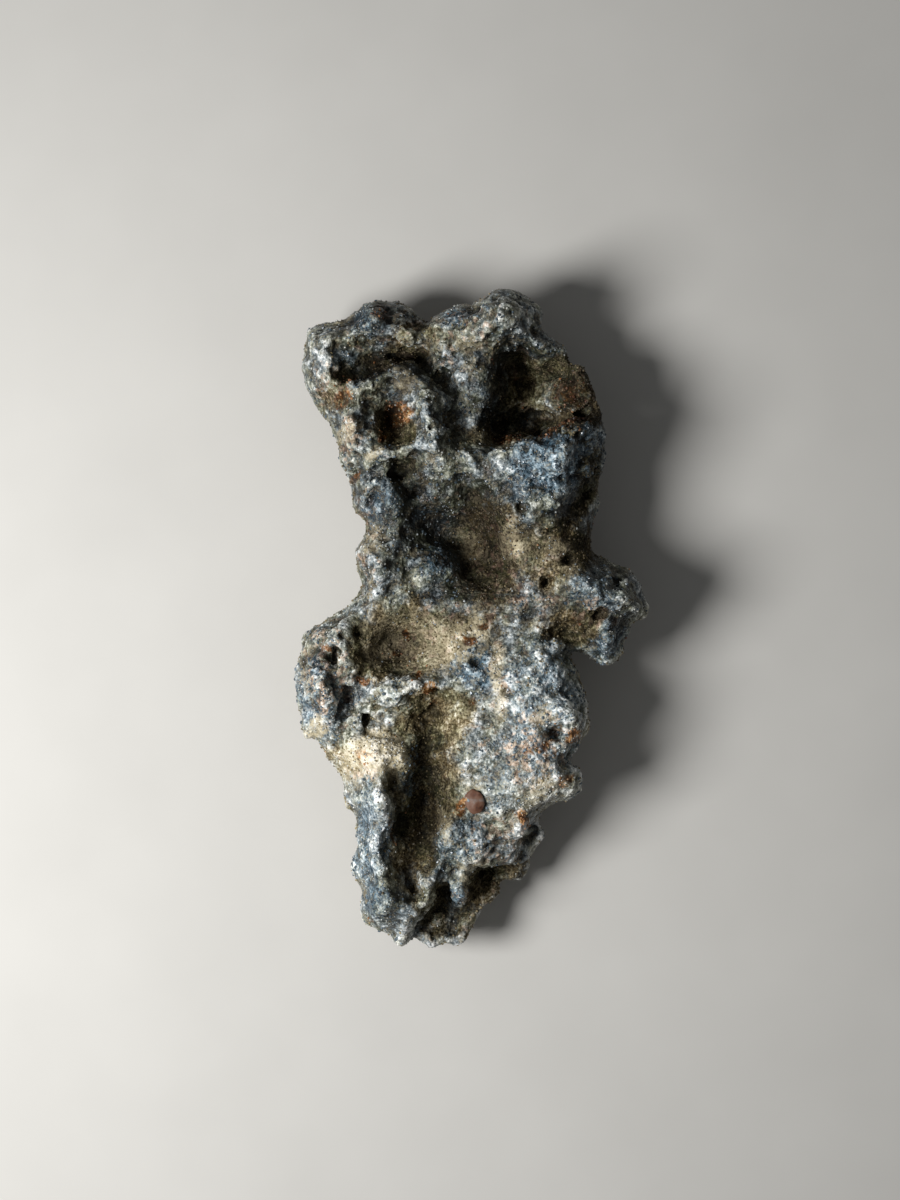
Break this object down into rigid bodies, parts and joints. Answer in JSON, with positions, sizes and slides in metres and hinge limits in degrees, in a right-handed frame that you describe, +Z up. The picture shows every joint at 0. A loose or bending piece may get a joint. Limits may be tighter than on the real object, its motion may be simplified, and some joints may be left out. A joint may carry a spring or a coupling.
{
  "type": "fulgurite",
  "caption": "Natural lump of lightning-fused sand: crusted glassy swellings round sandy hollows, a deep pit at one end and a groove at the other, lying on its back.",
  "frame": {"origin": "the middle of the bounding box, at the bottom, on the surface that the lump lies on", "axes": "+Z up, out of the sandy front; +Y along the lump towards its broad end with the deep pit; +X across it towards the side with the knob"},
  "size_m": [0.0424, 0.079, 0.0201],
  "materials": {
    "fused_sand": "rough, sandy, with dull blue-grey glass on the swellings and rust in some pits"
  },
  "bodies": {
    "root": {"fulgurite": "fused_sand"}
  },
  "joints": []
}
